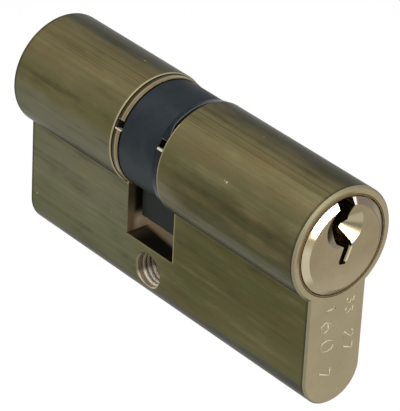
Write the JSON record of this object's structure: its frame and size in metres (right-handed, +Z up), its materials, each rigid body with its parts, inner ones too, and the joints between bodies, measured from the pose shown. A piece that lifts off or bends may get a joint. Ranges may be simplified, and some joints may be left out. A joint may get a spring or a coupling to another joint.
{
  "type": "euro profile cylinder",
  "caption": "Double-sided pin tumbler lock cylinder with a round body, flat web, bevelled key plugs, turning cam and fixing screw hole.",
  "frame": {"origin": "centre of the fixing screw hole, midway through the web", "axes": "+X along the cylinder out of the front plug, +Y along the fixing screw hole, +Z up from the foot to the round part"},
  "size_m": [0.0612, 0.017, 0.033],
  "materials": {
    "body_brass": "satin, drawn lengthwise",
    "plug_brass": "fine turned",
    "cam_steel": "dark sintered steel",
    "clutch_steel": "plain",
    "ring_metal": "satin",
    "key_pin_brass": "turned",
    "driver_steel": "turned",
    "spring_steel": "drawn wire",
    "stopper_brass": "turned"
  },
  "bodies": {
    "housing": {"housing": "body_brass", "front_stopper_1": "stopper_brass", "front_stopper_2": "stopper_brass", "front_stopper_3": "stopper_brass", "front_stopper_4": "stopper_brass", "front_stopper_5": "stopper_brass", "rear_stopper_1": "stopper_brass", "rear_stopper_2": "stopper_brass", "rear_stopper_3": "stopper_brass", "rear_stopper_4": "stopper_brass", "rear_stopper_5": "stopper_brass", "front_spring_1": "spring_steel", "front_spring_2": "spring_steel", "front_spring_3": "spring_steel", "front_spring_4": "spring_steel", "front_spring_5": "spring_steel", "rear_spring_1": "spring_steel", "rear_spring_2": "spring_steel", "rear_spring_3": "spring_steel", "rear_spring_4": "spring_steel", "rear_spring_5": "spring_steel"},
    "front_plug": {"front_plug": "plug_brass", "front_snap_ring": "ring_metal"},
    "rear_plug": {"rear_plug": "plug_brass", "rear_snap_ring": "ring_metal"},
    "cam": {"cam": "cam_steel"},
    "clutch": {"front_clutch": "clutch_steel", "rear_clutch": "clutch_steel"},
    "front_key_pin_1": {"front_key_pin_1": "key_pin_brass"},
    "front_driver_1": {"front_driver_1": "driver_steel"},
    "front_key_pin_2": {"front_key_pin_2": "key_pin_brass"},
    "front_driver_2": {"front_driver_2": "driver_steel"},
    "front_key_pin_3": {"front_key_pin_3": "key_pin_brass"},
    "front_driver_3": {"front_driver_3": "driver_steel"},
    "front_key_pin_4": {"front_key_pin_4": "key_pin_brass"},
    "front_driver_4": {"front_driver_4": "driver_steel"},
    "front_key_pin_5": {"front_key_pin_5": "key_pin_brass"},
    "front_driver_5": {"front_driver_5": "driver_steel"},
    "rear_key_pin_1": {"rear_key_pin_1": "key_pin_brass"},
    "rear_driver_1": {"rear_driver_1": "driver_steel"},
    "rear_key_pin_2": {"rear_key_pin_2": "key_pin_brass"},
    "rear_driver_2": {"rear_driver_2": "driver_steel"},
    "rear_key_pin_3": {"rear_key_pin_3": "key_pin_brass"},
    "rear_driver_3": {"rear_driver_3": "driver_steel"},
    "rear_key_pin_4": {"rear_key_pin_4": "key_pin_brass"},
    "rear_driver_4": {"rear_driver_4": "driver_steel"},
    "rear_key_pin_5": {"rear_key_pin_5": "key_pin_brass"},
    "rear_driver_5": {"rear_driver_5": "driver_steel"}
  },
  "joints": [
    {"name": "front_plug_turn", "type": "hinge", "parent": "housing", "child": "front_plug", "pos_m": [0, 0, 0.0187], "axis": [1, 0, 0], "continuous": true},
    {"name": "rear_plug_turn", "type": "hinge", "parent": "housing", "child": "rear_plug", "pos_m": [0, 0, 0.0187], "axis": [1, 0, 0], "continuous": true},
    {"name": "cam_turn", "type": "hinge", "parent": "housing", "child": "cam", "pos_m": [0, 0, 0.0187], "axis": [1, 0, 0], "continuous": true},
    {"name": "clutch_shift", "type": "slide", "parent": "cam", "child": "clutch", "axis": [1, 0, 0], "range_m": [-0.0016, 0]},
    {"name": "front_key_pin_1_lift", "type": "slide", "parent": "front_plug", "child": "front_key_pin_1", "axis": [0, 0, 1], "range_m": [0, 0.00135]},
    {"name": "front_driver_1_press", "type": "slide", "parent": "housing", "child": "front_driver_1", "axis": [0, 0, 1], "range_m": [-0.003, 0], "stiffness_N_per_m": 50, "springref_m": 0.0005, "deforming": ["front_spring_1"]},
    {"name": "front_key_pin_2_lift", "type": "slide", "parent": "front_plug", "child": "front_key_pin_2", "axis": [0, 0, 1], "range_m": [0, 0.00195]},
    {"name": "front_driver_2_press", "type": "slide", "parent": "housing", "child": "front_driver_2", "axis": [0, 0, 1], "range_m": [-0.003, 0], "stiffness_N_per_m": 50, "springref_m": 0.0005, "deforming": ["front_spring_2"]},
    {"name": "front_key_pin_3_lift", "type": "slide", "parent": "front_plug", "child": "front_key_pin_3", "axis": [0, 0, 1], "range_m": [0, 0.00075]},
    {"name": "front_driver_3_press", "type": "slide", "parent": "housing", "child": "front_driver_3", "axis": [0, 0, 1], "range_m": [-0.003, 0], "stiffness_N_per_m": 50, "springref_m": 0.0005, "deforming": ["front_spring_3"]},
    {"name": "front_key_pin_4_lift", "type": "slide", "parent": "front_plug", "child": "front_key_pin_4", "axis": [0, 0, 1], "range_m": [0, 0.00165]},
    {"name": "front_driver_4_press", "type": "slide", "parent": "housing", "child": "front_driver_4", "axis": [0, 0, 1], "range_m": [-0.003, 0], "stiffness_N_per_m": 50, "springref_m": 0.0005, "deforming": ["front_spring_4"]},
    {"name": "front_key_pin_5_lift", "type": "slide", "parent": "front_plug", "child": "front_key_pin_5", "axis": [0, 0, 1], "range_m": [0, 0.00105]},
    {"name": "front_driver_5_press", "type": "slide", "parent": "housing", "child": "front_driver_5", "axis": [0, 0, 1], "range_m": [-0.003, 0], "stiffness_N_per_m": 50, "springref_m": 0.0005, "deforming": ["front_spring_5"]},
    {"name": "rear_key_pin_1_lift", "type": "slide", "parent": "rear_plug", "child": "rear_key_pin_1", "axis": [0, 0, 1], "range_m": [0, 0.00165]},
    {"name": "rear_driver_1_press", "type": "slide", "parent": "housing", "child": "rear_driver_1", "axis": [0, 0, 1], "range_m": [-0.003, 0], "stiffness_N_per_m": 50, "springref_m": 0.0005, "deforming": ["rear_spring_1"]},
    {"name": "rear_key_pin_2_lift", "type": "slide", "parent": "rear_plug", "child": "rear_key_pin_2", "axis": [0, 0, 1], "range_m": [0, 0.00105]},
    {"name": "rear_driver_2_press", "type": "slide", "parent": "housing", "child": "rear_driver_2", "axis": [0, 0, 1], "range_m": [-0.003, 0], "stiffness_N_per_m": 50, "springref_m": 0.0005, "deforming": ["rear_spring_2"]},
    {"name": "rear_key_pin_3_lift", "type": "slide", "parent": "rear_plug", "child": "rear_key_pin_3", "axis": [0, 0, 1], "range_m": [0, 0.00195]},
    {"name": "rear_driver_3_press", "type": "slide", "parent": "housing", "child": "rear_driver_3", "axis": [0, 0, 1], "range_m": [-0.003, 0], "stiffness_N_per_m": 50, "springref_m": 0.0005, "deforming": ["rear_spring_3"]},
    {"name": "rear_key_pin_4_lift", "type": "slide", "parent": "rear_plug", "child": "rear_key_pin_4", "axis": [0, 0, 1], "range_m": [0, 0.00075]},
    {"name": "rear_driver_4_press", "type": "slide", "parent": "housing", "child": "rear_driver_4", "axis": [0, 0, 1], "range_m": [-0.003, 0], "stiffness_N_per_m": 50, "springref_m": 0.0005, "deforming": ["rear_spring_4"]},
    {"name": "rear_key_pin_5_lift", "type": "slide", "parent": "rear_plug", "child": "rear_key_pin_5", "axis": [0, 0, 1], "range_m": [0, 0.00135]},
    {"name": "rear_driver_5_press", "type": "slide", "parent": "housing", "child": "rear_driver_5", "axis": [0, 0, 1], "range_m": [-0.003, 0], "stiffness_N_per_m": 50, "springref_m": 0.0005, "deforming": ["rear_spring_5"]}
  ],
  "couplings": [
    {"joint": "cam_turn", "follows": "front_plug_turn", "ratio": 1}
  ]
}
